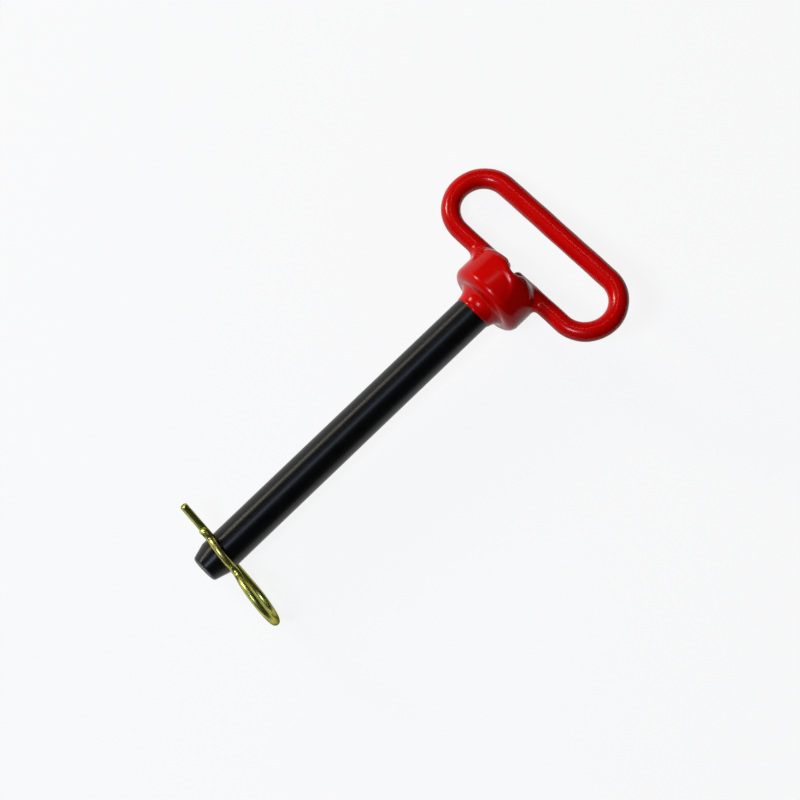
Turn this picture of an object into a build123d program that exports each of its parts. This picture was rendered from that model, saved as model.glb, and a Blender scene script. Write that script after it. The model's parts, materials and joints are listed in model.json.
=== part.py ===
"""Hitch pin: a forged pin with a bent rod handle, a dipped vinyl coating and a hairpin clip.

Every piece is modelled in the pin's own frame: the pin's axis is Z with the handle at the top,
z = 0 is the underside of the forged head, and the handle lies in the XZ plane. At the end the
whole assembly is laid down as it comes to rest on a flat surface, on the rim of its head, one
end of its handle and the ring of its clip, with +Z up and the shank along X. Millimetres.
"""

from build123d import *
from math import atan2, cos, degrees, hypot, radians, sin, sqrt, tan
import os

INCH = 25.4

# ---- Forged pin -------------------------------------------------------------------------------
shank_d = 0.75 * INCH
hole_from_head = 177.0              # underside of the head to the centre of the cross hole
hole_to_tip = 0.5 * INCH            # centre of the cross hole to the end of the pin
tip_bevel_length = 8.0
tip_bevel_deg = 16.5                # between the bevel and the axis
tip_corner_r = 1.5
hole_turn_deg = 42.0                # the cross hole's direction, turned about Z from the handle's
hole_countersink = 0.5
head_d = 1.5 * INCH
head_h = 19.7
head_rim_r = 3.5                    # rounding of the head's lower rim
head_shoulder_r = 7.0               # rounding of the head's upper shoulder
neck_fillet_r = 1.2                 # where the shank meets the head
crease_r = 5.9                      # the valley that is pressed across the head, between the rod's ends
crease_depth = 3.7                  # below the head's top
crease_turn_deg = 18.0              # the valley's run, turned about Z from the Y axis

# ---- Bent rod handle --------------------------------------------------------------------------
rod_d = 0.3125 * INCH
rod_axis_z = 19.2                   # height of the two lower runs, which lie in the head's groove
loop_h = 32.6                       # between the axes of the lower runs and the grip bar
loop_w = 103.0                      # between the outermost points of the rod's axis
rod_end_gap = 5.2                   # between the two cut ends, inside the head
rod_gap_shift = -1.5                # the gap's middle, along X
rod_end_chamfer = 0.8
groove_clearance = 0.05             # rod to groove, all round

# ---- Dipped vinyl coating ---------------------------------------------------------------------
# The part hangs by its shank and is dipped handle first, so the vinyl drains to the grip bar and
# thins out up the shank to a narrow rounded lip.
coat_head = 1.15                    # on the forged head
coat_run = 0.85                     # on the two lower runs of the rod
coat_bar = 1.42                     # on the grip bar
coat_neck = 2.5                     # round the shank, next to the head
coat_lip = 0.55                     # round the shank, at the coating's edge
coat_flare_from = 6.2               # below the head, where the sleeve turns out to the head
coat_neck_length = 8.8              # how far it covers the shank below the head
coat_rim_r = 4.7
coat_shoulder_r = 8.1
coat_crease_r = 1.6                 # rounding of the coating along the valley's two edges
coat_neck_fillet_r = 0.8
coat_flare_r = 11.5
coat_lip_r = 0.3
coat_lobe_r = 2.8                   # rounding of the coating over each cut end of the rod
coat_web_r = 1.5                    # the vinyl's web where a run of the rod meets the head

# ---- Hairpin clip -----------------------------------------------------------------------------
wire_d = 0.148 * INCH
hole_clearance = 0.10               # clip's straight leg in the cross hole, on the radius
leg_reach = 31.9                    # straight leg's end, from the pin's axis
ring_r = 14.5                       # ring, on the wire's axis
ring_offset = 23.5                  # ring's centre from the pin's axis, along the straight leg
clip_lean_deg = 14.5                # the clip's plane leans this far towards the tip
hump_clearance = 0.15               # wavy leg's hump over the shank
hump_wrap_deg = 150.0               # where the hump leaves the shank, from the ring side
neck_bend_r = 5.0                   # reverse bend between the ring and the hump
throat_bend_r = 4.0                 # reverse bend between the hump and the lead-in
lead_in_deg = 25.0                  # the lead-in's slope away from the straight leg
lead_in_length = 3.0
wire_end_chamfer = 0.4

shank_r = shank_d / 2
rod_r = rod_d / 2
wire_r = wire_d / 2
head_r = head_d / 2
shank_length = hole_from_head + hole_to_tip
bend_r = loop_h / 2
bend_x = loop_w / 2 - bend_r
end_left_x = rod_gap_shift - rod_end_gap / 2
end_right_x = rod_gap_shift + rod_end_gap / 2
run_coat_r = rod_r + coat_run
bar_coat_r = rod_r + coat_bar


def clip_plane() -> Plane:
    """The plane of the bent clip: x along the straight leg to the ring, y to the wavy leg."""
    turn = radians(hole_turn_deg)
    lean = radians(clip_lean_deg)
    along = Vector(cos(turn), sin(turn), 0)
    across = Vector(sin(turn), -cos(turn), 0) * cos(lean) - Vector(0, 0, sin(lean))
    return Plane(origin=(0, 0, -hole_from_head), x_dir=along, z_dir=along.cross(across))


# ---- Forged pin -------------------------------------------------------------------------------
def head_blank():
    """The round forged head before its groove: rounded lower rim and large upper shoulder."""
    blank = Cylinder(head_r, head_h, align=(Align.CENTER, Align.CENTER, Align.MIN))
    low, high = blank.edges().filter_by(GeomType.CIRCLE).sort_by(Axis.Z)
    blank = fillet(low, head_rim_r)
    high = blank.edges().filter_by(GeomType.CIRCLE).sort_by(Axis.Z)[-1]
    return fillet(high, head_shoulder_r)


def shank():
    """The plain shank with its bevelled tip, reaching up into the head."""
    end_r = shank_r - tip_bevel_length * tan(radians(tip_bevel_deg))
    with BuildPart() as body:
        with BuildSketch(Plane.XZ):
            with BuildLine():
                Polyline(
                    (0, head_h / 2),
                    (shank_r, head_h / 2),
                    (shank_r, tip_bevel_length - shank_length),
                    (end_r, -shank_length),
                    (0, -shank_length),
                    close=True,
                )
            make_face()
        revolve(axis=Axis.Z)
        end_edge = body.edges().filter_by(GeomType.CIRCLE).sort_by(Axis.Z)[0]
        fillet(end_edge, tip_corner_r)
    return body.part


def groove(x_from: float, x_to: float):
    """A round-bottomed channel along X for the rod, open at the top, between two stations."""
    radius = rod_r + groove_clearance
    depth = head_h - rod_axis_z + head_h
    with BuildPart() as channel:
        with BuildSketch(Plane.YZ.offset(x_from)):
            with Locations((0, rod_axis_z)):
                Circle(radius)
                Rectangle(2 * radius, depth, align=(Align.CENTER, Align.MIN))
        extrude(amount=x_to - x_from)
    return channel.part


def cross_hole():
    """The drilled hole for the clip, with a light countersink at each mouth."""
    radius = wire_r + hole_clearance
    with BuildPart() as drill:
        Cylinder(radius, 2 * shank_d)
        for flip in (0, 180):
            with Locations(Location((0, 0, 0), (flip, 0, 0))):
                with Locations((0, 0, shank_r - hole_countersink)):
                    Cone(
                        radius,
                        radius + shank_r,
                        shank_r,
                        align=(Align.CENTER, Align.CENTER, Align.MIN),
                    )
    turn = Location((0, 0, -hole_from_head), (0, 0, hole_turn_deg)) * Location((0, 0, 0), (0, 90, 0))
    return turn * drill.part


def crease(radius: float):
    """A round-bottomed valley across the top of the head, as a bar that cuts it."""
    bar = Location((0, 0, 0), (90, 0, 0)) * Cylinder(radius, 2 * head_d)
    axis_z = head_h - crease_depth + crease_r
    return Location((rod_gap_shift, 0, axis_z), (0, 0, crease_turn_deg)) * bar


def pin_blank():
    """Shank and head forged in one, with the fillet between them and the valley across the top."""
    body = shank() + head_blank() - crease(crease_r)
    circles = body.edges().filter_by(GeomType.CIRCLE)
    root = circles.filter_by(lambda e: abs(e.center().Z) < 0.01 and abs(e.radius - shank_r) < 0.01)
    return fillet(root, neck_fillet_r)


def forged_pin():
    """The forging with its groove for the rod and its cross hole for the clip."""
    return pin_blank() - groove(-head_d, head_d) - cross_hole()


# ---- Bent rod handle --------------------------------------------------------------------------
def loop_path(start_x: float, end_x: float):
    """The handle's axis: from one cut end round the loop to the other, in the XZ plane."""
    top = rod_axis_z + loop_h
    with BuildLine(Plane.XZ) as path:
        Line((start_x, rod_axis_z), (-bend_x, rod_axis_z))
        ThreePointArc((-bend_x, rod_axis_z), (-bend_x - bend_r, rod_axis_z + bend_r), (-bend_x, top))
        Line((-bend_x, top), (bend_x, top))
        ThreePointArc((bend_x, top), (bend_x + bend_r, rod_axis_z + bend_r), (bend_x, rod_axis_z))
        Line((bend_x, rod_axis_z), (end_x, rod_axis_z))
    return path.line


def handle_rod():
    """The steel rod of the handle, bent to a long loop with its two ends in the head."""
    path = loop_path(end_left_x, end_right_x)
    with BuildPart() as rod:
        with BuildSketch(Plane(origin=path @ 0, z_dir=path % 0)):
            Circle(rod_r)
        sweep(path=path)
        ends = rod.edges().filter_by(GeomType.CIRCLE).filter_by(
            lambda edge: min(abs(edge.center().X - end_left_x), abs(edge.center().X - end_right_x)) < 0.01
        )
        chamfer(ends, rod_end_chamfer)
    return rod.part


# ---- Dipped vinyl coating ---------------------------------------------------------------------
def coat_over_head():
    """Outer form of the coating on the head and on the neck of the shank."""
    top = head_h + coat_head
    neck_r = shank_r + coat_neck
    lip_r = shank_r + coat_lip
    corners = {
        (0, top): 0,
        (head_r + coat_head, top): coat_shoulder_r,
        (head_r + coat_head, -coat_head): coat_rim_r,
        (neck_r, -coat_head): coat_neck_fillet_r,
        (lip_r, -coat_flare_from): coat_flare_r,
        (lip_r, -coat_neck_length): coat_lip_r,
        (0, -coat_neck_length): 0,
    }
    with BuildPart() as skin:
        with BuildSketch(Plane.XZ) as half:
            with BuildLine():
                Polyline(*corners, close=True)
            make_face()
            for (x, z), corner_r in corners.items():
                if corner_r:
                    fillet(half.vertices().sort_by_distance((x, z, 0))[0], corner_r)
        revolve(axis=Axis.Z)
    valley = crease(crease_r - coat_head)
    creased = skin.part - valley
    return fillet(new_edges(skin.part, valley, combined=creased), coat_crease_r)


def coated_run(cut_x: float):
    """The coating over one lower run: from the rounded lobe over the cut end to the bend."""
    side = 1 if cut_x > rod_gap_shift else -1
    lobe_x = cut_x - side * coat_run
    length = bend_x - side * lobe_x
    run = Cylinder(run_coat_r, length, align=(Align.CENTER, Align.CENTER, Align.MIN))
    cut_edge = run.edges().filter_by(GeomType.CIRCLE).sort_by(Axis.Z)[0]
    run = fillet(cut_edge, coat_lobe_r)
    return Location((lobe_x, 0, rod_axis_z), (0, side * 90, 0)) * run


def coated_bend(side: int):
    """The coating round one end of the loop, growing from the run's thickness to the bar's."""
    top = rod_axis_z + loop_h
    low = (side * bend_x, 0, rod_axis_z)
    high = (side * bend_x, 0, top)
    arc = ThreePointArc(low, (side * (bend_x + bend_r), 0, rod_axis_z + bend_r), high)
    start = Plane(origin=low, z_dir=(side, 0, 0)) * Circle(run_coat_r)
    end = Plane(origin=high, z_dir=(-side, 0, 0)) * Circle(bar_coat_r)
    return sweep([start, end], path=arc, multisection=True)


def dip_coating():
    """One vinyl skin over the handle, the head and the neck, solid in the pocket between the ends."""
    bar = Location((-bend_x, 0, rod_axis_z + loop_h), (0, 90, 0)) * Cylinder(
        bar_coat_r, 2 * bend_x, align=(Align.CENTER, Align.CENTER, Align.MIN)
    )
    head = coat_over_head()
    runs = coated_run(end_left_x), coated_run(end_right_x)
    outer = head + runs[0] + runs[1]
    outer = fillet(new_edges(head, *runs, combined=outer), coat_web_r)
    outer = outer + coated_bend(-1) + bar + coated_bend(1)
    pocket = groove(end_left_x, end_right_x)
    return outer - (pin_blank() - pocket) - handle_rod()


# ---- Hairpin clip -----------------------------------------------------------------------------
def between_circles(centre_a, radius_a, centre_b, radius_b, side: int):
    """Centre of a circle at given distances from two others, on one side of the line between."""
    dx = centre_b[0] - centre_a[0]
    dy = centre_b[1] - centre_a[1]
    span = hypot(dx, dy)
    along = (radius_a**2 - radius_b**2 + span**2) / (2 * span)
    off = side * sqrt(radius_a**2 - along**2)
    return (
        centre_a[0] + (along * dx - off * dy) / span,
        centre_a[1] + (along * dy + off * dx) / span,
    )


def on_circle(centre, radius: float, angle: float):
    """The point of a circle at an angle in degrees."""
    return (centre[0] + radius * cos(radians(angle)), centre[1] + radius * sin(radians(angle)))


def clip_path():
    """The clip's axis: straight leg, ring, reverse bend, hump over the shank, throat, lead-in."""
    hump_r = (shank_r + wire_r + hump_clearance) / cos(radians(clip_lean_deg))
    shank_c = (0.0, 0.0)
    ring_c = (ring_offset, ring_r)
    neck_c = between_circles(shank_c, hump_r + neck_bend_r, ring_c, ring_r + neck_bend_r, 1)
    throat_c = on_circle(shank_c, hump_r + throat_bend_r, hump_wrap_deg)

    neck_at = degrees(atan2(neck_c[1], neck_c[0]))
    ring_out = degrees(atan2(neck_c[1] - ring_c[1], neck_c[0] - ring_c[0])) % 360
    ring_in = 270.0 - 360.0
    neck_in = ring_out - 180.0
    neck_out = neck_at - 180.0
    throat_in = hump_wrap_deg + 180.0
    throat_out = 270.0 - lead_in_deg

    def arc(centre, radius, start, end):
        middle = (start + end) / 2
        return ThreePointArc(
            on_circle(centre, radius, start),
            on_circle(centre, radius, middle),
            on_circle(centre, radius, end),
        )

    lead_from = on_circle(throat_c, throat_bend_r, throat_out)
    lead_to = (
        lead_from[0] - lead_in_length * cos(radians(lead_in_deg)),
        lead_from[1] + lead_in_length * sin(radians(lead_in_deg)),
    )
    with BuildLine(clip_plane()) as path:
        Line((-leg_reach, 0), (ring_offset, 0))
        arc(ring_c, ring_r, ring_in, ring_out)
        arc(neck_c, neck_bend_r, neck_in, neck_out)
        arc(shank_c, hump_r, neck_at, hump_wrap_deg)
        arc(throat_c, throat_bend_r, throat_in, throat_out)
        Line(lead_from, lead_to)
    return path.line


def hairpin_clip():
    """One spring wire: the straight leg through the cross hole, the wavy leg over the shank."""
    path = clip_path()
    with BuildPart() as clip:
        with BuildSketch(Plane(origin=path @ 0, z_dir=path % 0)):
            Circle(wire_r)
        sweep(path=path)
        flat_ends = clip.faces().filter_by(GeomType.PLANE)
        chamfer(flat_ends.edges(), wire_end_chamfer)
    return clip.part


# ---- The way it lies --------------------------------------------------------------------------
def lying_plane() -> Plane:
    """The surface that the part comes to rest on, in the pin's own frame.

    It touches three round edges, each the outer half of a torus: the head's lower rim, the left
    end of the loop and the ring of the clip. A torus with centre C, axis n, ring radius R and
    tube radius r reaches down to C.u - R sqrt(1 - (n.u)^2) - r along the upward direction u.
    """
    clip = clip_plane()
    rim_r = head_r + coat_head - coat_rim_r
    rounds = (
        (Vector(0, 0, coat_rim_r - coat_head), Vector(0, 0, 1), rim_r, coat_rim_r),
        (Vector(-bend_x, 0, rod_axis_z + bend_r), Vector(0, 1, 0), bend_r, (run_coat_r + bar_coat_r) / 2),
        (clip.from_local_coords(Vector(ring_offset, ring_r, 0)), clip.z_dir, ring_r, wire_r),
    )

    def upward(roll: float, pitch: float) -> Vector:
        return Vector(sin(roll) * cos(pitch), -cos(roll) * cos(pitch), sin(pitch))

    def heights(roll: float, pitch: float):
        up = upward(roll, pitch)
        return [c.dot(up) - big * sqrt(1 - n.dot(up) ** 2) - small for c, n, big, small in rounds]

    def misfit(roll: float, pitch: float):
        rim, loop, ring = heights(roll, pitch)
        return loop - rim, ring - rim

    roll, pitch, step = radians(15), 0.0, 1e-6
    for _ in range(20):
        f, g = misfit(roll, pitch)
        f_roll, g_roll = [(b - a) / step for a, b in zip((f, g), misfit(roll + step, pitch))]
        f_pitch, g_pitch = [(b - a) / step for a, b in zip((f, g), misfit(roll, pitch + step))]
        det = f_roll * g_pitch - f_pitch * g_roll
        roll -= (f * g_pitch - g * f_pitch) / det
        pitch -= (g * f_roll - f * g_roll) / det
    up = upward(roll, pitch)
    along = (Vector(0, 0, 1) - up * up.Z).normalized()
    print(f"rolled {degrees(roll):.2f} deg, pitched {degrees(pitch):.2f} deg")
    return Plane(origin=up * min(heights(roll, pitch)), x_dir=along, z_dir=up)


def main():
    """Build each piece, lay the assembly down with its origin under its middle, and write it."""
    pieces = {
        "forged_pin": forged_pin(),
        "handle_rod": handle_rod(),
        "dip_coating": dip_coating(),
        "hairpin_clip": hairpin_clip(),
    }
    rest = lying_plane()
    laid = {name: rest.to_local_coords(piece) for name, piece in pieces.items()}
    boxes = [piece.bounding_box() for piece in laid.values()]
    middle_x = (min(box.min.X for box in boxes) + max(box.max.X for box in boxes)) / 2
    middle_y = (min(box.min.Y for box in boxes) + max(box.max.Y for box in boxes)) / 2
    to_origin = Location((-middle_x, -middle_y, 0))
    os.makedirs("parts", exist_ok=True)
    for name, piece in laid.items():
        export_step(to_origin * piece, f"parts/{name}.step")


main()
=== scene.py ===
"""Looks of a hitch pin: black forged pin, red dipped handle and yellow zinc hairpin clip.

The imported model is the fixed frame. Sizes are millimetres in the pin's own frame, whose axis is Z
with the handle up, whose zero is the underside of the steel head, and whose handle lies in the XZ
plane; PinFrame carries them to the row's frame in metres.
"""

from __future__ import annotations

import json
import logging
import math
from dataclasses import dataclass, field
from enum import Enum
from typing import Any, Callable, Sequence

import bpy
import numpy as np
from mathutils import Matrix, Vector


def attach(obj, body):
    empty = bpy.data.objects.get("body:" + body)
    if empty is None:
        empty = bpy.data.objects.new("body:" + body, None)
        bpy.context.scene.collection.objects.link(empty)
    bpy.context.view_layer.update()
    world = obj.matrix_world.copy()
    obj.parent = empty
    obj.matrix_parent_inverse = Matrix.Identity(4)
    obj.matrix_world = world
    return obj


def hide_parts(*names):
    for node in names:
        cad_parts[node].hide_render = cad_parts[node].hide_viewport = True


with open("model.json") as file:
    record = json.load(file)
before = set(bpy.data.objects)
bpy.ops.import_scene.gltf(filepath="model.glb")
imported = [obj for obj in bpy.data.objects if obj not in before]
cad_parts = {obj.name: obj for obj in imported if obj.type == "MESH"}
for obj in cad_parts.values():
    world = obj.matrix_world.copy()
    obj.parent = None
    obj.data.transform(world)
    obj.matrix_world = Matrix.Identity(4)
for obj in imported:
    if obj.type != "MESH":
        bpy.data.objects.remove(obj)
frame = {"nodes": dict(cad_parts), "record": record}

LOG = logging.getLogger("hitch_pin")
MM = 0.001
INCH = 25.4
SHANK_R = 0.375 * INCH
HOLE_TURN_DEG = 42.0
COAT_HEAD = 1.15

Array = np.ndarray


class Body(Enum):
    """Moving bodies of the part."""

    PIN = "pin"
    CLIP = "clip"


class Slot(Enum):
    """Material slots of the record."""

    RED_VINYL = "red_vinyl"
    YELLOW_ZINC = "yellow_zinc"


# ---- Colour and nodes -------------------------------------------------------------------------
def linear(hex_colour: str) -> tuple[float, float, float, float]:
    """Turn an sRGB hex colour into linear red, green, blue and alpha.

    Args:
        hex_colour: six hex digits after a hash.

    Returns:
        Linear colour with alpha 1.
    """
    parts = [int(hex_colour[i : i + 2], 16) / 255 for i in (1, 3, 5)]
    lin = [c / 12.92 if c <= 0.04045 else ((c + 0.055) / 1.055) ** 2.4 for c in parts]
    return (lin[0], lin[1], lin[2], 1.0)


def add_node(tree: Any, kind: str, settings: dict[str, Any] | None = None, **links: Any) -> Any:
    """Add a node with its settings and its inputs.

    Args:
        tree: node tree that takes the node.
        kind: type name of the node.
        settings: attributes of the node, such as operation or blend_type.
        **links: input name, with spaces as underscores, to a value or to an output socket. A name
            that ends in a number after two underscores picks the input by its index.

    Returns:
        The new node.
    """
    node = tree.nodes.new(kind)
    for name, value in (settings or {}).items():
        setattr(node, name, value)
    for name, value in links.items():
        key = int(name.split("__")[1]) if "__" in name else name.replace("_", " ")
        if isinstance(value, bpy.types.NodeSocket):
            tree.links.new(value, node.inputs[key])
        else:
            node.inputs[key].default_value = value
    return node


def ramp_stops(node: Any, stops: Sequence[tuple[float, str]]) -> None:
    """Set the stops of a colour ramp.

    Args:
        node: colour ramp node.
        stops: place from 0 to 1 and sRGB hex colour of each stop.
    """
    elements = node.color_ramp.elements
    while len(elements) < len(stops):
        elements.new(0.5)
    for element, (place, colour) in zip(elements, stops):
        element.position = place
        element.color = linear(colour)


def add_noise(tree: Any, place: Any, size_mm: float, detail: float, **links: Any) -> Any:
    """Add a noise pattern.

    Args:
        tree: node tree that takes it.
        place: socket with the place on the surface.
        size_mm: size of its patches.
        detail: number of finer octaves.
        **links: further inputs, as for add_node.

    Returns:
        The socket with its strength.
    """
    scale = 1 / (size_mm * MM)
    node = add_node(tree, "ShaderNodeTexNoise", Vector=place, Scale=scale, Detail=detail, **links)
    return node.outputs["Fac"]


def add_math(tree: Any, operation: str, *values: Any) -> Any:
    """Add one step of arithmetic on numbers or sockets.

    Args:
        tree: node tree that takes it.
        operation: what it does.
        *values: its inputs in order.

    Returns:
        The socket with the result.
    """
    inputs = {f"Value__{index}": value for index, value in enumerate(values)}
    return add_node(tree, "ShaderNodeMath", {"operation": operation}, **inputs).outputs["Value"]


def tint_surface(tree: Any, shader: Any, pattern: Any, stops: Sequence[tuple[float, str]]) -> None:
    """Colour the surface by a pattern.

    Args:
        tree: node tree of the material.
        shader: its shader.
        pattern: socket that places the colours.
        stops: place from 0 to 1 and sRGB hex colour of each stop.
    """
    tint = add_node(tree, "ShaderNodeValToRGB", Fac=pattern)
    ramp_stops(tint, stops)
    tree.links.new(tint.outputs["Color"], shader.inputs["Base Color"])


def gloss_surface(
    tree: Any, shader: Any, pattern: Any, span: tuple[float, float], roughness: tuple[float, float]
) -> None:
    """Vary the surface's roughness by a pattern.

    Args:
        tree: node tree of the material.
        shader: its shader.
        pattern: socket that places the roughness.
        span: the pattern's values at the two ends.
        roughness: the roughness at the two ends.
    """
    low, high = span
    smooth, rough = roughness
    gloss = add_node(
        tree,
        "ShaderNodeMapRange",
        Value=pattern,
        From_Min=low,
        From_Max=high,
        To_Min=smooth,
        To_Max=rough,
    )
    tree.links.new(gloss.outputs["Result"], shader.inputs["Roughness"])


def bump_surface(tree: Any, shader: Any, pattern: Any, strength: float, depth_mm: float) -> None:
    """Raise the surface by a pattern.

    Args:
        tree: node tree of the material.
        shader: its shader.
        pattern: socket with the height.
        strength: share of the bump that shows.
        depth_mm: height of the pattern's whole range.
    """
    distance = depth_mm * MM
    bump = add_node(tree, "ShaderNodeBump", Height=pattern, Strength=strength, Distance=distance)
    tree.links.new(bump.outputs["Normal"], shader.inputs["Normal"])


def new_material(name: str) -> tuple[Any, Any, Any]:
    """Start a material with one Principled shader.

    Args:
        name: name of the material.

    Returns:
        The material, its node tree and its shader.
    """
    material = bpy.data.materials.new(name)
    material.use_nodes = True
    tree = material.node_tree
    tree.nodes.clear()
    shader = add_node(tree, "ShaderNodeBsdfPrincipled")
    out = add_node(tree, "ShaderNodeOutputMaterial")
    tree.links.new(shader.outputs["BSDF"], out.inputs["Surface"])
    return material, tree, shader


# ---- Finishes ---------------------------------------------------------------------------------
@dataclass(frozen=True)
class OiledBlackSteel:
    """Forged carbon steel, heat treated and quenched in oil.

    The oxide is a thin, nearly black skin with a dull satin gloss. Grinding the bar leaves fine
    rings round it, which draw each highlight out along it, and the oil dries in cloudy patches a
    few millimetres across.
    """

    name: str = "oil_quenched_black_steel"
    dark: str = "#060707"
    pale: str = "#0C0D0E"
    roughness: tuple[float, float] = (0.40, 0.47)
    specular_level: float = 0.34
    drawn_out: float = 0.88
    cloud_mm: float = 9.0
    ring_mm: float = 0.45
    ring_stretch: float = 0.01
    ring_wear: float = 0.5
    ring_height: float = 2.0
    grit_mm: float = 0.5
    wear_span: tuple[float, float] = (0.55, 0.95)
    bump: tuple[float, float] = (0.1, 0.05)

    def material(self, along: Vector) -> Any:
        """Build the material.

        Args:
            along: direction of the bar in the row's frame; the rings lie across it.

        Returns:
            The material.
        """
        material, tree, shader = new_material(self.name)
        place = add_node(tree, "ShaderNodeTexCoord").outputs["Object"]
        clouds = add_noise(tree, place, self.cloud_mm, 4.0, Roughness=0.6)
        turned = add_node(
            tree,
            "ShaderNodeMapping",
            {"vector_type": "POINT"},
            Vector=place,
            Rotation=(0.0, math.asin(along.z), 0.0),
            Scale=(1.0, self.ring_stretch, self.ring_stretch),
        )
        rings = add_noise(tree, turned.outputs["Vector"], self.ring_mm, 2.0)
        grit = add_noise(tree, place, self.grit_mm, 2.0)
        tint_surface(tree, shader, clouds, [(0.35, self.dark), (0.75, self.pale)])
        worn = add_math(tree, "MULTIPLY_ADD", rings, self.ring_wear, clouds)
        gloss_surface(tree, shader, worn, self.wear_span, self.roughness)
        height = add_math(tree, "MULTIPLY_ADD", rings, self.ring_height, grit)
        bump_surface(tree, shader, height, *self.bump)
        shader.inputs["Specular IOR Level"].default_value = self.specular_level
        shader.inputs["Anisotropic"].default_value = self.drawn_out
        axis = add_node(tree, "ShaderNodeCombineXYZ", X=along.x, Y=along.y, Z=along.z)
        tree.links.new(axis.outputs["Vector"], shader.inputs["Tangent"])
        return material


@dataclass(frozen=True)
class MillSteel:
    """Cold drawn bar as it comes from the mill; it is sealed under the coating."""

    name: str = "cold_drawn_steel"
    colour: str = "#9C9A96"
    roughness: float = 0.38
    scratch_mm: float = 1.2
    bump: tuple[float, float] = (0.2, 0.03)

    def material(self) -> Any:
        """Build the material.

        Returns:
            The material.
        """
        material, tree, shader = new_material(self.name)
        place = add_node(tree, "ShaderNodeTexCoord").outputs["Object"]
        bump_surface(tree, shader, add_noise(tree, place, self.scratch_mm, 3.0), *self.bump)
        shader.inputs["Base Color"].default_value = linear(self.colour)
        shader.inputs["Metallic"].default_value = 1.0
        shader.inputs["Roughness"].default_value = self.roughness
        return material


@dataclass(frozen=True)
class DippedVinyl:
    """Plastisol, dipped hot and cured: a thick glossy skin with a little light inside it.

    It drains before it sets, so the surface rolls gently over a centimetre or two, and a finer
    orange peel of a few millimetres breaks up its highlights.
    """

    name: str = "dipped_vinyl"
    deep: str = "#CF0200"
    bright: str = "#DC0401"
    roughness: tuple[float, float] = (0.16, 0.23)
    specular_level: float = 0.17
    cloud_mm: float = 16.0
    peel_mm: float = 3.2
    dust_mm: float = 0.9
    dust_span: tuple[float, float] = (0.3, 0.7)
    bump: tuple[float, float] = (0.12, 0.12)

    def material(self) -> Any:
        """Build the material.

        Returns:
            The material.
        """
        material, tree, shader = new_material(self.name)
        place = add_node(tree, "ShaderNodeTexCoord").outputs["Object"]
        clouds = add_noise(tree, place, self.cloud_mm, 3.0)
        tint_surface(tree, shader, clouds, [(0.3, self.deep), (0.7, self.bright)])
        dust = add_noise(tree, place, self.dust_mm, 2.0)
        gloss_surface(tree, shader, dust, self.dust_span, self.roughness)
        bump_surface(tree, shader, add_noise(tree, place, self.peel_mm, 2.0), *self.bump)
        shader.inputs["Specular IOR Level"].default_value = self.specular_level
        return material


@dataclass(frozen=True)
class YellowZinc:
    """Spring wire, zinc plated and passivated yellow.

    The chromate film is thin enough to shift from straw to green and a little rose along the
    wire, and the plating under it has a faint grain.
    """

    name: str = "yellow_zinc_plate"
    straw: str = "#C7C56E"
    green: str = "#A0A655"
    rose: str = "#C3B268"
    # A dark olive tint of the reflection at grazing angles: painted shade that darkens the wire along its
    # edges.
    painted_edge_shade: str = "#3C3E20"
    roughness: tuple[float, float] = (0.31, 0.39)
    drift_mm: float = 9.0
    grain_mm: float = 0.6
    grain_span: tuple[float, float] = (0.3, 0.7)
    bump: tuple[float, float] = (0.02, 0.03)

    def material(self) -> Any:
        """Build the material.

        Returns:
            The material.
        """
        material, tree, shader = new_material(self.name)
        place = add_node(tree, "ShaderNodeTexCoord").outputs["Object"]
        drift = add_noise(tree, place, self.drift_mm, 3.0)
        grain = add_noise(tree, place, self.grain_mm, 2.0)
        tint_surface(tree, shader, drift, [(0.32, self.green), (0.5, self.straw), (0.68, self.rose)])
        gloss_surface(tree, shader, grain, self.grain_span, self.roughness)
        bump_surface(tree, shader, grain, *self.bump)
        shader.inputs["Metallic"].default_value = 1.0
        # Painted shade: the dark tint of the grazing reflection darkens the wire's edges.
        shader.inputs["Specular Tint"].default_value = linear(self.painted_edge_shade)
        return material


# ---- Places and meshes ------------------------------------------------------------------------
@dataclass
class PinFrame:
    """The pin's own frame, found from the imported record.

    Attributes:
        origin: the frame's zero, in metres in the row's frame.
        axes: (3, 3) the frame's X, Y and Z as directions in the row's frame.
    """

    origin: Array = field(init=False)
    axes: Array = field(init=False)

    def __post_init__(self) -> None:
        """Read the head's seat for the axis and the clip's joint for the turn about it.

        The cross hole is turned HOLE_TURN_DEG from the handle's plane, and the seat lies
        COAT_HEAD below the steel of the head.
        """
        record = frame["record"]
        seat = next(m for m in record["mounts"] if m["name"] == "head_seat")
        joint = record["behaviour"]["joints"][0]
        down = np.array(seat["axis"]) / np.linalg.norm(seat["axis"])
        z_axis = -down
        along = np.array(joint["axis"])
        along = along - z_axis * (along @ z_axis)
        along = along / np.linalg.norm(along)
        turn = math.radians(HOLE_TURN_DEG)
        x_axis = along * math.cos(turn) - np.cross(z_axis, along) * math.sin(turn)
        self.axes = np.stack([x_axis, np.cross(z_axis, x_axis), z_axis])
        self.origin = np.array(seat["pos_m"]) - down * COAT_HEAD * MM

    def to_row(self, points: Array) -> Array:
        """Carry points in millimetres to the row's frame in metres.

        Args:
            points: (n, 3) points in the pin's frame.

        Returns:
            (n, 3) points in the row's frame.
        """
        return self.origin + points * MM @ self.axes

    def turn_to_row(self, directions: Array) -> Array:
        """Turn directions into the row's frame.

        Args:
            directions: (n, 3) or (3,) directions in the pin's frame.

        Returns:
            The same directions in the row's frame.
        """
        return directions @ self.axes


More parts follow.
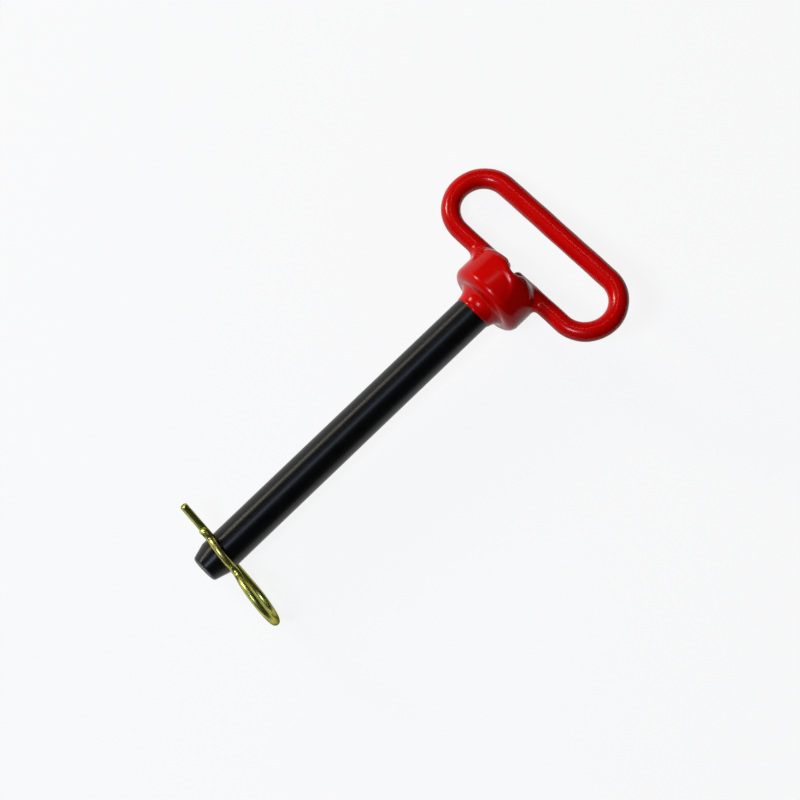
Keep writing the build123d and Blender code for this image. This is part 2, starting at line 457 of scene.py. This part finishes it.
def mesh_object(
    name: str, points: Array, quads: Array, caps: list[list[int]], normals: Array | None = None
) -> Any:
    """Put a grid of quads into a new smooth object at the origin.

    Args:
        name: name of the object.
        points: (n, 3) vertices in metres in the row's frame.
        quads: (m, 4) vertex numbers.
        caps: closing faces with more corners.
        normals: (n, 3) normals of the surface at its vertices, if they are known.

    Returns:
        The object.
    """
    mesh = bpy.data.meshes.new(name)
    mesh.from_pydata(points.tolist(), [], quads.tolist() + caps)
    mesh.validate()
    mesh.polygons.foreach_set("use_smooth", np.ones(len(mesh.polygons), bool))
    if normals is not None:
        mesh.normals_split_custom_set_from_vertices(normals.tolist())
    mesh.update()
    piece = bpy.data.objects.new(name, mesh)
    bpy.context.scene.collection.objects.link(piece)
    return piece


def turn_from(points: Array, start_deg: float) -> Array:
    """Turn of points about the pin's axis from a direction, between -pi and pi.

    Args:
        points: (n, 3) points in the pin's frame.
        start_deg: turn of the direction from the X axis.

    Returns:
        Turn of each point in radians.
    """
    turn = np.arctan2(points[:, 1], points[:, 0]) - math.radians(start_deg)
    return (turn + math.pi) % (2 * math.pi) - math.pi


def smooth_min(a: Array, b: Array, width: float) -> Array:
    """The lesser of a and b, lowered by (width - |a - b|)^2 / (4 width) where they are that near.

    Args:
        a: first distances.
        b: second distances.
        width: how near the two are where they start to blend, in millimetres.

    Returns:
        The blended distances.
    """
    near = np.maximum(width - np.abs(a - b), 0)
    return np.minimum(a, b) - near * near / (4 * width)


def rounded_corner(across: Array, along: Array, radius: Array | float) -> Array:
    """Distance to a quarter plane with a rounded corner.

    With both distances raised by the corner's radius, the distance is the length of their
    positive parts, or the greater of the two inside, less that radius.

    Args:
        across: signed distance to one side.
        along: signed distance to the other side.
        radius: radius of the corner.

    Returns:
        Signed distance to the corner.
    """
    u, v = across + radius, along + radius
    outside = np.hypot(np.maximum(u, 0), np.maximum(v, 0))
    return outside + np.minimum(np.maximum(u, v), 0) - radius


class LevelSet:
    """Closed surface where a distance function is zero.

    Attributes:
        STEP: reach of the differences that give a slope, in millimetres.
        FLATTEST: least squared slope to divide by.
        EVENINGS: number of times that the vertices are evened out.
    """

    STEP = 0.02
    FLATTEST = 1e-6
    EVENINGS = 3

    def __init__(self, distance: Callable[[Array], Array], low: Array, high: Array, pitch: float) -> None:
        """Set the function and the box that holds the surface.

        Args:
            distance: function from (n, 3) points to their signed distances, negative inside.
            low: lowest corner of the box.
            high: highest corner of the box.
            pitch: size of a cell.
        """
        self.distance = distance
        self.low = np.asarray(low, float)
        self.pitch = pitch
        self.shape = np.ceil((np.asarray(high) - self.low) / pitch).astype(int) + 1

    def gradient(self, points: Array) -> Array:
        """Slope of the distance by central differences.

        Args:
            points: (n, 3) points.

        Returns:
            (n, 3) slopes.
        """
        slopes = []
        for unit in np.eye(3):
            rise = self.distance(points + self.STEP * unit) - self.distance(points - self.STEP * unit)
            slopes.append(rise / (2 * self.STEP))
        return np.stack(slopes, 1)

    def settle(self, points: Array, rounds: int) -> Array:
        """Move points onto the surface: each goes back along the slope by distance over slope.

        Args:
            points: (n, 3) points near the surface.
            rounds: number of steps.

        Returns:
            (n, 3) points on the surface.
        """
        for _ in range(rounds):
            slope = self.gradient(points)
            size = np.maximum((slope * slope).sum(1), self.FLATTEST)
            points = points - slope * (self.distance(points) / size)[:, None]
        return points

    def mesh(self) -> tuple[Array, Array, Array]:
        """Mesh the surface with one vertex in each cell that it crosses.

        A vertex starts at the mean of the crossings on its cell's edges. Each grid edge with
        ends of different sign gives one quad of the four cells round it. The vertices are then
        evened out, each to the mean of its neighbours, and settled back on the surface.

        Returns:
            (n, 3) vertices, (m, 4) quads that face outwards, and (n, 3) normals.
        """
        index = np.stack(np.meshgrid(*map(np.arange, self.shape), indexing="ij"), -1)
        corners = self.low + index * self.pitch
        value = self.distance(corners.reshape(-1, 3)).reshape(self.shape)
        cells = tuple(self.shape - 1)
        total, count = np.zeros(cells + (3,)), np.zeros(cells)
        crossings = []
        for axis in range(3):
            ahead = np.roll(value, -1, axis)
            crossed = (value < 0) != (ahead < 0)
            crossed[(slice(None),) * axis + (-1,)] = False
            gap = np.where(crossed, value - ahead, 1.0)
            ahead_by = np.where(crossed, value / gap, 0) * self.pitch
            place = corners + np.eye(3)[axis] * ahead_by[..., None]
            crossings.append(crossed)
            others = [i for i in range(3) if i != axis]
            for first in (0, 1):
                for second in (0, 1):
                    cut = [slice(0, n) for n in cells]
                    cut[others[0]] = slice(first, cells[others[0]] + first)
                    cut[others[1]] = slice(second, cells[others[1]] + second)
                    hit = crossed[tuple(cut)]
                    total += np.where(hit[..., None], place[tuple(cut)], 0)
                    count += hit
        used = count > 0
        number = np.full(cells, -1)
        number[used] = np.arange(used.sum())
        points = total[used] / count[used][:, None]
        quads = []
        for axis in range(3):
            one, two = np.eye(3, dtype=int)[[(axis + 1) % 3, (axis + 2) % 3]]
            at = np.argwhere(crossings[axis])
            round_edge = [at - one - two, at - two, at, at - one]
            quad = np.stack([number[tuple(c.T)] for c in round_edge], 1)
            inward = value[tuple(at.T)] >= 0
            quad[inward] = quad[inward][:, ::-1]
            quads.append(quad)
        quads = np.concatenate(quads)
        for _ in range(self.EVENINGS):
            points = self.settle(self.evened(points, quads), 2)
        slope = self.gradient(points)
        return points, quads, slope / np.linalg.norm(slope, axis=1)[:, None]

    @staticmethod
    def evened(points: Array, quads: Array) -> Array:
        """Half way from each vertex to the mean of those it shares an edge with.

        Args:
            points: (n, 3) vertices.
            quads: (m, 4) quads.

        Returns:
            (n, 3) vertices.
        """
        total, count = np.zeros_like(points), np.zeros(len(points))
        for side in range(4):
            here, there = quads[:, side], quads[:, (side + 1) % 4]
            for a, b in ((here, there), (there, here)):
                np.add.at(total, a, points[b])
                np.add.at(count, a, 1)
        return 0.5 * points + 0.5 * total / count[:, None]


# ---- Sub-assemblies ---------------------------------------------------------------------------
def dress(node: str, material: Any) -> None:
    """Give a CAD node that stays its material.

    Args:
        node: name of the node.
        material: the material.
    """
    for slot in frame["nodes"][node].material_slots:
        slot.material = material


@dataclass
class ForgedPin:
    """The forged pin: shank, head and cross hole are one CAD solid, which stays."""

    finish: OiledBlackSteel = OiledBlackSteel()

    def build(self, place: PinFrame) -> None:
        """Dress the CAD node.

        Args:
            place: the pin's frame.
        """
        dress("forged_pin", self.finish.material(Vector(place.axes[2])))


@dataclass
class HandleRod:
    """The bent rod inside the handle's coating, a CAD solid that stays."""

    finish: MillSteel = MillSteel()

    def build(self) -> None:
        """Dress the CAD node."""
        dress("handle_rod", self.finish.material())


@dataclass
class DipCoating:
    """The vinyl skin over handle, head and neck, blended softly as a dip leaves it.

    The first values are the steel's, then come the coating's thicknesses and corners, the web
    round the handle, the lip, the swelling below the valley's front mouth and the slow roll.
    """

    head_r: float = 0.75 * INCH
    head_h: float = 19.7
    crease_r: float = 5.9
    crease_depth: float = 3.7
    crease_turn_deg: float = 18.0
    rod_r: float = 0.15625 * INCH
    rod_axis_z: float = 19.2
    loop_h: float = 32.6
    loop_w: float = 103.0
    rod_end_gap: float = 5.2
    rod_gap_shift: float = -1.5
    coat_run: float = 0.85
    coat_bar: float = 1.42
    coat_lip: float = 0.58
    coat_neck_length: float = 8.8
    neck_top: float = 2.0
    flare_r: float = 7.5
    flare_from: float = 7.4
    flare_deg: float = 36.0
    coat_rim_r: float = 4.7
    coat_shoulder_r: float = 8.1
    coat_lobe_r: float = 2.8
    full_shoulder_r: float = 4.5
    full_turn_deg: float = -122.0
    full_spread: float = 0.85
    valley_blend: float = 2.6
    neck_blend: float = 1.6
    web_blend: float = 3.0
    web_under_left: float = 6.5
    web_over_right: float = 4.5
    web_from: float = 6.0
    web_grows_over: float = 8.0
    web_split: float = 3.0
    web_fades_over: float = 6.0
    web_overlap: float = 1.2
    lip_round: float = 1.1
    lip_tilt: float = 0.55
    lip_sides: float = 0.55
    lip_turn_deg: float = 16.4
    drip_length: float = 0.5
    drip_deg: float = 214.0
    drip_half_deg: float = 13.0
    swell_height: float = 0.75
    swell_turn_deg: float = -76.0
    swell_centre: tuple[float, float] = (-2.4, 4.3)
    swell_r: tuple[float, float] = (8.0, 10.6)
    swell_middle: tuple[float, float] = (0.0, 14.0)
    swell_spread: float = 6.0
    roll: float = 0.035
    roll_mm: float = 17.0
    roll_phase: float = 1.3
    pitch: float = 0.6
    margin: float = 2.0
    finish: DippedVinyl = DippedVinyl()

    def head(self, p: Array) -> Array:
        """Head: a disc with one corner radius below and another above, less the valley.

        The shoulder's radius shrinks to full_shoulder_r about full_turn_deg, where the vinyl lies
        thicker.

        Args:
            p: (n, 3) points.

        Returns:
            Signed distances.
        """
        low, high = -COAT_HEAD, self.head_h + COAT_HEAD
        middle = (low + high) / 2
        above = p[:, 2] > middle
        full = np.exp(-((turn_from(p, self.full_turn_deg) / self.full_spread) ** 2))
        shoulder = self.coat_shoulder_r + (self.full_shoulder_r - self.coat_shoulder_r) * full
        corner = np.where(above, shoulder, self.coat_rim_r)
        rho = np.hypot(p[:, 0], p[:, 1])
        height = np.abs(p[:, 2] - middle) - (high - low) / 2
        disc = rounded_corner(rho - self.head_r - COAT_HEAD, height, corner)
        turn = math.radians(self.crease_turn_deg)
        across = (p[:, 0] - self.rod_gap_shift) * math.cos(turn) + p[:, 1] * math.sin(turn)
        up = p[:, 2] - (self.head_h - self.crease_depth + self.crease_r)
        bar = np.hypot(across, up) - (self.crease_r - COAT_HEAD)
        return -smooth_min(-disc + self.swelling(p), bar, self.valley_blend)

    def swelling(self, p: Array) -> Array:
        """Metal that the press pushed out below the valley's front mouth.

        On the head's side, with u along its round and z up it, the height is a smooth step
        across a circle about swell_centre, times a bell about swell_middle.

        Args:
            p: (n, 3) points.

        Returns:
            Height in millimetres at each point.
        """
        u, z = turn_from(p, self.swell_turn_deg) * (self.head_r + COAT_HEAD), p[:, 2]
        inner, outer = self.swell_r
        rise = np.hypot(u - self.swell_centre[0], z - self.swell_centre[1])
        rise = np.clip((rise - inner) / (outer - inner), 0, 1)
        away = (u - self.swell_middle[0]) ** 2 + (z - self.swell_middle[1]) ** 2
        bell = np.exp(-away / (2 * self.swell_spread**2))
        return self.swell_height * rise * rise * (3 - 2 * rise) * bell

    def neck(self, p: Array) -> Array:
        """Neck: a thin sleeve on the shank that flares out to the head along an arc.

        The lip dips to one side and twice round, and one short drip hangs from it.

        Args:
            p: (n, 3) points.

        Returns:
            Signed distances.
        """
        turn = np.degrees(np.arctan2(p[:, 1], p[:, 0])) % 360
        round_neck = np.radians(turn - self.lip_turn_deg)
        drip = np.exp(-(((turn - self.drip_deg) / self.drip_half_deg) ** 2))
        lip_z = self.lip_tilt * np.cos(round_neck) + self.lip_sides * (np.cos(2 * round_neck) + 1)
        lip_z = lip_z - self.coat_neck_length - self.drip_length * drip
        steepest = self.flare_r * math.sin(math.radians(self.flare_deg))
        rise = np.clip(p[:, 2] + self.flare_from, 0, None)
        curved = np.minimum(rise, steepest)
        flare = self.flare_r - np.sqrt(self.flare_r**2 - curved**2)
        flare = flare + (rise - curved) * math.tan(math.radians(self.flare_deg))
        side = np.hypot(p[:, 0], p[:, 1]) - SHANK_R - self.coat_lip - flare
        below = np.maximum(lip_z - p[:, 2], p[:, 2] - self.neck_top)
        return -smooth_min(-side, -below, self.lip_round)

    def handle(self, p: Array) -> Array:
        """Handle: a tube round a long loop, whose radius grows round each bend, and two lobes.

        Args:
            p: (n, 3) points.

        Returns:
            Signed distances.
        """
        bend_r = self.loop_h / 2
        bend_x = self.loop_w / 2 - bend_r
        run_r, bar_r = self.rod_r + self.coat_run, self.rod_r + self.coat_bar
        x, y = p[:, 0], p[:, 1]
        low_z = p[:, 2] - self.rod_axis_z
        out = np.abs(x) - bend_x
        swing = np.arctan2(out, bend_r - low_z)
        bend = np.hypot(np.hypot(out, low_z - bend_r) - bend_r, y)
        bend = bend - run_r - (bar_r - run_r) * np.clip(swing / math.pi, 0, 1)
        bar = np.hypot(low_z - self.loop_h, y) - bar_r
        run = np.hypot(low_z, y) - run_r
        half_gap = self.rod_end_gap / 2 - self.coat_run
        from_gap = np.abs(x - self.rod_gap_shift) - half_gap
        run = rounded_corner(run, -from_gap, self.coat_lobe_r)
        return np.where(out > 0, bend, np.minimum(bar, run))

    def web(self, p: Array) -> Array:
        """Width of the web between head and handle.

        It is fuller below the handle's left run and above its right one, where the vinyl gathers.

        Args:
            p: (n, 3) points.

        Returns:
            Width in millimetres at each point.
        """
        out = (np.abs(p[:, 0]) - self.web_from) / self.web_grows_over
        under = (self.rod_axis_z + self.web_split - p[:, 2]) / self.web_fades_over
        left = np.clip(np.where(p[:, 0] < 0, out, 0), 0, 1) * np.clip(under, 0, 1)
        right = np.clip(np.where(p[:, 0] > 0, out, 0), 0, 1)
        right = right * np.clip(self.web_overlap - under, 0, 1)
        width = self.web_blend + (self.web_under_left - self.web_blend) * left
        return width + (self.web_over_right - self.web_blend) * right

    def distance(self, p: Array) -> Array:
        """Whole skin: the three forms blended, with a slow roll of the surface as it drained.

        The roll is two slanting waves. It only goes inwards, so that the skin still rests on the
        floor.

        Args:
            p: (n, 3) points.

        Returns:
            Signed distances.
        """
        skin = smooth_min(self.head(p), self.neck(p), self.neck_blend)
        skin = smooth_min(skin, self.handle(p), self.web(p))
        wave = 2 * math.pi / self.roll_mm
        x, y, z = wave * p[:, 0], wave * p[:, 1], wave * p[:, 2]
        roll = np.sin(x + 0.7 * z) + np.sin(0.8 * y - 0.9 * z + 0.5 * x + self.roll_phase)
        return skin + self.roll * (2 + roll)

    def build(self, place: PinFrame) -> Any:
        """Mesh the skin and put it in place of the CAD solid.

        Args:
            place: the pin's frame.

        Returns:
            The skin.
        """
        reach = self.loop_w / 2 + self.rod_r + self.coat_bar + self.margin
        side = self.head_r + COAT_HEAD + self.margin
        top = self.rod_axis_z + self.loop_h + self.rod_r + self.coat_bar + self.margin
        bottom = -self.coat_neck_length - self.drip_length - self.margin
        surface = LevelSet(self.distance, (-reach, -side, bottom), (reach, side, top), self.pitch)
        points, quads, normals = surface.mesh()
        piece = mesh_object("vinyl_skin", place.to_row(points), quads, [], place.turn_to_row(normals))
        piece.data.materials.append(self.finish.material())
        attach(piece, Body.PIN.value)
        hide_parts("dip_coating")
        return piece


@dataclass
class HairpinClip:
    """The spring clip, one round wire bent in a plane that leans towards the pin's tip.

    Attributes:
        step: length of a piece of the wire's mesh, in millimetres.
        sides: number of sides of the wire's mesh.
    """

    hole_from_head: float = 177.0
    wire_r: float = 0.074 * INCH
    leg_reach: float = 31.9
    ring_r: float = 14.5
    ring_offset: float = 23.5
    lean_deg: float = 14.5
    hump_clearance: float = 0.15
    hump_wrap_deg: float = 150.0
    neck_bend_r: float = 5.0
    throat_bend_r: float = 4.0
    lead_in_deg: float = 25.0
    lead_in_length: float = 3.0
    end_chamfer: float = 0.4
    step: float = 0.45
    sides: int = 40
    finish: YellowZinc = YellowZinc()

    def line(self, start: Array, end: Array) -> tuple[Array, Array]:
        """Points from start towards end, without the last, and their direction.

        Args:
            start: first point in the clip's plane.
            end: last point.

        Returns:
            (n, 2) points and (n, 2) unit directions.
        """
        run = end - start
        share = np.linspace(0, 1, max(2, int(np.linalg.norm(run) / self.step)), endpoint=False)
        unit = run / np.linalg.norm(run)
        return start + share[:, None] * run, np.tile(unit, (len(share), 1))

    def arc(self, centre: Array, radius: float, start: float, end: float) -> tuple[Array, Array]:
        """Points round a circle from one angle to another, without the last, and their direction.

        Args:
            centre: centre of the circle in the clip's plane.
            radius: radius of the circle.
            start: first angle in degrees.
            end: last angle in degrees.

        Returns:
            (n, 2) points and (n, 2) unit directions.
        """
        sweep = math.radians(end - start)
        share = np.linspace(0, 1, max(3, int(abs(sweep) * radius / self.step)), endpoint=False)
        angle = math.radians(start) + share * sweep
        spoke = np.stack([np.cos(angle), np.sin(angle)], 1)
        ahead = np.stack([-np.sin(angle), np.cos(angle)], 1) * math.copysign(1, sweep)
        return centre + radius * spoke, ahead

    @staticmethod
    def spoke(angle: float) -> Array:
        """Unit direction in the clip's plane at an angle in degrees."""
        return np.array([math.cos(math.radians(angle)), math.sin(math.radians(angle))])

    def path(self) -> tuple[Array, Array]:
        """The wire's axis: straight leg, ring, neck bend, hump, throat bend and lead-in.

        Each bend is tangent to the next: the neck bend's centre is its radius away from both the
        hump's circle and the ring, and the throat's centre lies on the hump's last spoke.

        Returns:
            (n, 2) points and (n, 2) unit directions in the clip's plane.
        """
        hump_r = SHANK_R + self.wire_r + self.hump_clearance
        hump_r = hump_r / math.cos(math.radians(self.lean_deg))
        zero, ring = np.zeros(2), np.array([self.ring_offset, self.ring_r])
        near, far = hump_r + self.neck_bend_r, self.ring_r + self.neck_bend_r
        span = np.linalg.norm(ring)
        along = (near**2 - far**2 + span**2) / (2 * span)
        off = math.sqrt(near**2 - along**2)
        neck = (along * ring + off * np.array([-ring[1], ring[0]])) / span
        neck_at = math.degrees(math.atan2(neck[1], neck[0]))
        ring_out = math.degrees(math.atan2(*(neck - ring)[::-1])) % 360
        throat = (hump_r + self.throat_bend_r) * self.spoke(self.hump_wrap_deg)
        lead_deg = 180 - self.lead_in_deg
        throat_out = lead_deg + 90
        lead_from = throat + self.throat_bend_r * self.spoke(throat_out)
        lead_to = lead_from + self.lead_in_length * self.spoke(lead_deg)
        runs = [
            self.line(np.array([-self.leg_reach, 0.0]), np.array([self.ring_offset, 0.0])),
            self.arc(ring, self.ring_r, -90, ring_out),
            self.arc(neck, self.neck_bend_r, ring_out - 180, neck_at - 180),
            self.arc(zero, hump_r, neck_at, self.hump_wrap_deg),
            self.arc(throat, self.throat_bend_r, self.hump_wrap_deg + 180, throat_out),
            self.line(lead_from, lead_to),
            (lead_to[None], self.spoke(lead_deg)[None]),
        ]
        return np.concatenate([r[0] for r in runs]), np.concatenate([r[1] for r in runs])

    def rings(self) -> Array:
        """Carry a circle along the path.

        A ring of the wire is its centre plus its radius times (cosine of the angle times the
        path's normal in the plane, plus sine times the plane's own normal). The radius drops by
        the chamfer at the two cut ends.

        Returns:
            (rings, sides, 3) points in the pin's frame.
        """
        points, ahead = self.path()
        turn, lean = math.radians(HOLE_TURN_DEG), math.radians(self.lean_deg)
        x_axis = np.array([math.cos(turn), math.sin(turn), 0.0])
        y_axis = np.array([x_axis[1], -x_axis[0], 0.0]) * math.cos(lean)
        y_axis[2] = -math.sin(lean)
        plane = np.stack([x_axis, y_axis])
        centre = points @ plane + np.array([0, 0, -self.hole_from_head])
        normal = np.stack([-ahead[:, 1], ahead[:, 0]], 1) @ plane
        binormal = np.cross(x_axis, y_axis)
        tangent = ahead @ plane
        first, last = centre[:1], centre[-1:]
        after = first + tangent[:1] * self.end_chamfer
        before = last - tangent[-1:] * self.end_chamfer
        centre = np.concatenate([first, after, centre[1:-1], before, last])
        normal = np.concatenate([normal[:1], normal, normal[-1:]])
        radius = np.full(len(centre), self.wire_r)
        radius[[0, -1]] -= self.end_chamfer
        angle = (np.arange(self.sides) * 2 * math.pi / self.sides)[None, :, None]
        spokes = np.cos(angle) * normal[:, None] + np.sin(angle) * binormal
        return centre[:, None] + radius[:, None, None] * spokes

    def build(self, place: PinFrame) -> Any:
        """Mesh the wire, closed by flat ends, and put it in place of the CAD solid.

        Args:
            place: the pin's frame.

        Returns:
            The wire.
        """
        rings = self.rings()
        rows, columns = rings.shape[:2]
        i, j = np.meshgrid(np.arange(rows - 1), np.arange(columns), indexing="ij")
        here, beside = i * columns + j, i * columns + (j + 1) % columns
        quads = np.stack([here, here + columns, beside + columns, beside], -1).reshape(-1, 4)
        last = (rows - 1) * columns
        caps = [list(range(columns)), list(range(last + columns - 1, last - 1, -1))]
        piece = mesh_object("spring_wire", place.to_row(rings.reshape(-1, 3)), quads, caps)
        piece.data.materials.append(self.finish.material())
        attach(piece, Body.CLIP.value)
        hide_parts("hairpin_clip")
        return piece


# ---- Studio -----------------------------------------------------------------------------------
def stand(thing: Any, at: Array, axes: Array) -> None:
    """Stand a lamp or camera in the scene.

    Args:
        thing: the object.
        at: its place in the row's frame, in metres.
        axes: (3, 3) its X, Y and Z as directions in the row's frame.
    """
    thing.matrix_world = Matrix.Translation(Vector(at)) @ Matrix(axes.T.tolist()).to_4x4()
    bpy.context.scene.collection.objects.link(thing)


@dataclass(frozen=True)
class Lamp:
    """One soft box.

    Attributes:
        name: name of the lamp.
        towards: where it hangs, seen from the part: right across the pin, towards the viewer
            square to the pin, and up the pin's axis to the handle.
        size: its width across the pin and its height, in metres.
        level: how white it alone makes a white surface that faces it, 1 being full white.
        colour: colour of its light.
        away: its distance in metres.
    """

    name: str
    towards: tuple[float, float, float]
    size: tuple[float, float]
    level: float
    colour: str = "#FFFFFF"
    away: float = 2.4

    def build(self, place: PinFrame, viewer: Array, middle: Array) -> None:
        """Hang the lamp so that it faces the middle of the part.

        A flat lamp of power p sends p / (pi away^2) onto a surface that faces it, and a white
        surface gives back that light over pi.

        Args:
            place: the pin's frame.
            viewer: (3, 3) the viewer's directions in the pin's frame.
            middle: the point that it faces, in metres in the row's frame.
        """
        back = place.turn_to_row(np.array(self.towards) @ viewer)
        back = back / np.linalg.norm(back)
        rise = np.cross(back, place.turn_to_row(viewer[0]))
        rise = rise / np.linalg.norm(rise)
        axes = np.stack([np.cross(rise, back), rise, back])
        light = bpy.data.lights.new(self.name, "AREA")
        light.shape = "RECTANGLE"
        light.size, light.size_y = self.size
        light.energy = self.level * (math.pi * self.away) ** 2
        light.color = linear(self.colour)[:3]
        stand(bpy.data.objects.new(self.name, light), middle + back * self.away, axes)


@dataclass
class Studio:
    """Pale floor, soft lamps and the camera, placed about the pin's frame.

    Attributes:
        view_turn_deg: turn of the line of sight about the pin, from square to the handle.
        view_tilt_deg: tilt of the line of sight towards the pin's tip.
        view_roll_deg: roll of the picture, which puts the pin along its diagonal.
        target: the point in the middle of the picture, in the pin's frame.
        distance: from the target to the camera, in millimetres.
        lens: focal length in millimetres.
        floor_size: side of the floor in metres.
        floor_colour: the floor's colour to the eye and in reflections.
        floor_shade: its colour to all other light.
        floor_glow: share of its white that it gives by itself.
        room: height in the sky from 0 to 1, and the colour there.
        lamps: the soft boxes.
    """

    view_turn_deg: float = 16.4
    view_tilt_deg: float = 10.5
    view_roll_deg: float = 43.73
    target: tuple[float, float, float] = (5.89, 1.73, -63.54)
    distance: float = 1400.0
    lens: float = 129.4
    floor_size: float = 16.0
    floor_colour: str = "#F8F8F8"
    floor_shade: str = "#7A7A7A"
    floor_glow: float = 0.88
    room: tuple[tuple[float, str], ...] = ((0.0, "#8C8C8C"), (0.05, "#3C3C3C"), (0.6, "#363636"))
    lamps: tuple[Lamp, ...] = (
        Lamp("side_lamp", (-0.91, 0.35, -0.22), (0.34, 0.60), 0.60, "#FFF7E4"),
        Lamp("top_lamp", (-0.20, 0.86, -0.47), (0.38, 0.60), 0.50, "#CFE0FF"),
        Lamp("bar_lamp", (-0.535, 0.83, 0.18), (0.45, 0.30), 0.026),
    )

    def viewer_axes(self) -> Array:
        """Right across the pin, towards the viewer square to the pin, and up its axis."""
        turn = math.radians(self.view_turn_deg)
        right = (math.cos(turn), math.sin(turn), 0.0)
        near = (math.sin(turn), -math.cos(turn), 0.0)
        return np.array([right, near, (0.0, 0.0, 1.0)])

    def camera(self, place: PinFrame) -> None:
        """Stand the camera on the line of sight, rolled so that the pin runs to a corner.

        Args:
            place: the pin's frame.
        """
        right, near, up = self.viewer_axes()
        tilt, roll = math.radians(self.view_tilt_deg), math.radians(self.view_roll_deg)
        back = near * math.cos(tilt) - up * math.sin(tilt)
        rise = up * math.cos(tilt) + near * math.sin(tilt)
        x_axis = rise * math.cos(roll) + right * math.sin(roll)
        y_axis = rise * math.sin(roll) - right * math.cos(roll)
        axes = place.turn_to_row(np.stack([x_axis, y_axis, back]))
        eye = place.to_row(np.array([self.target]) + self.distance * back)[0]
        lens = bpy.data.cameras.new("camera")
        lens.lens = self.lens
        lens.sensor_width = 36.0
        lens.clip_start = 0.01
        lens.clip_end = 20.0
        seen = bpy.data.objects.new("camera", lens)
        stand(seen, eye, axes)
        bpy.context.scene.camera = seen

    def floor(self) -> None:
        """Lay a wide floor that looks white and keeps a soft part of each shadow.

        To the eye and in reflections floor_glow of it glows white and the rest is its own lit
        colour. To all other light it is a mid grey, so that it throws little light back up.
        """
        half = self.floor_size / 2
        corners = np.array([[-half, -half, 0], [half, -half, 0], [half, half, 0], [-half, half, 0]])
        floor = mesh_object("floor", corners, np.array([[0, 1, 2, 3]]), [])
        material, tree, shader = new_material("pale_floor")
        shader.inputs["Roughness"].default_value = 0.9
        shader.inputs["Specular IOR Level"].default_value = 0.0
        rays = add_node(tree, "ShaderNodeLightPath").outputs
        seen = add_math(tree, "MAXIMUM", rays["Is Camera Ray"], rays["Is Glossy Ray"])
        seen = add_math(tree, "MAXIMUM", seen, rays["Is Transmission Ray"])
        tint_surface(tree, shader, seen, [(0.0, self.floor_shade), (1.0, self.floor_colour)])
        share = add_math(tree, "MULTIPLY", seen, self.floor_glow)
        glow = add_node(tree, "ShaderNodeEmission", Strength=1.0)
        mixed = add_node(
            tree,
            "ShaderNodeMixShader",
            Fac=share,
            Shader__1=shader.outputs["BSDF"],
            Shader__2=glow.outputs["Emission"],
        )
        out = next(n for n in tree.nodes if n.type == "OUTPUT_MATERIAL")
        tree.links.new(mixed.outputs["Shader"], out.inputs["Surface"])
        floor.data.materials.append(material)

    def world(self) -> None:
        """Light the room dimly, a little paler at the horizon."""
        world = bpy.data.worlds.new("room")
        bpy.context.scene.world = world
        world.use_nodes = True
        tree = world.node_tree
        tree.nodes.clear()
        ray = add_node(tree, "ShaderNodeTexCoord").outputs["Generated"]
        height = add_node(tree, "ShaderNodeSeparateXYZ", Vector=ray).outputs["Z"]
        shade = add_node(tree, "ShaderNodeValToRGB", Fac=height)
        ramp_stops(shade, self.room)
        glow = add_node(tree, "ShaderNodeBackground", Color=shade.outputs["Color"], Strength=1.0)
        out = add_node(tree, "ShaderNodeOutputWorld")
        tree.links.new(glow.outputs["Background"], out.inputs["Surface"])

    def build(self, place: PinFrame) -> None:
        """Set the studio up.

        Args:
            place: the pin's frame.
        """
        bpy.context.scene.view_settings.view_transform = "Standard"
        self.camera(place)
        self.floor()
        self.world()
        middle = place.to_row(np.array([self.target]))[0]
        for lamp in self.lamps:
            lamp.build(place, self.viewer_axes(), middle)


def main() -> None:
    """Build each sub-assembly in order and say what it became."""
    logging.basicConfig(level=logging.INFO, format="%(name)s: %(message)s")
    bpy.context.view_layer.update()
    place = PinFrame()
    ForgedPin().build(place)
    HandleRod().build()
    for part in (DipCoating(), HairpinClip()):
        piece = part.build(place)
        LOG.info("%s: %d faces", piece.name, len(piece.data.polygons))
    Studio().build(place)


if __name__ == "__main__":
    main()
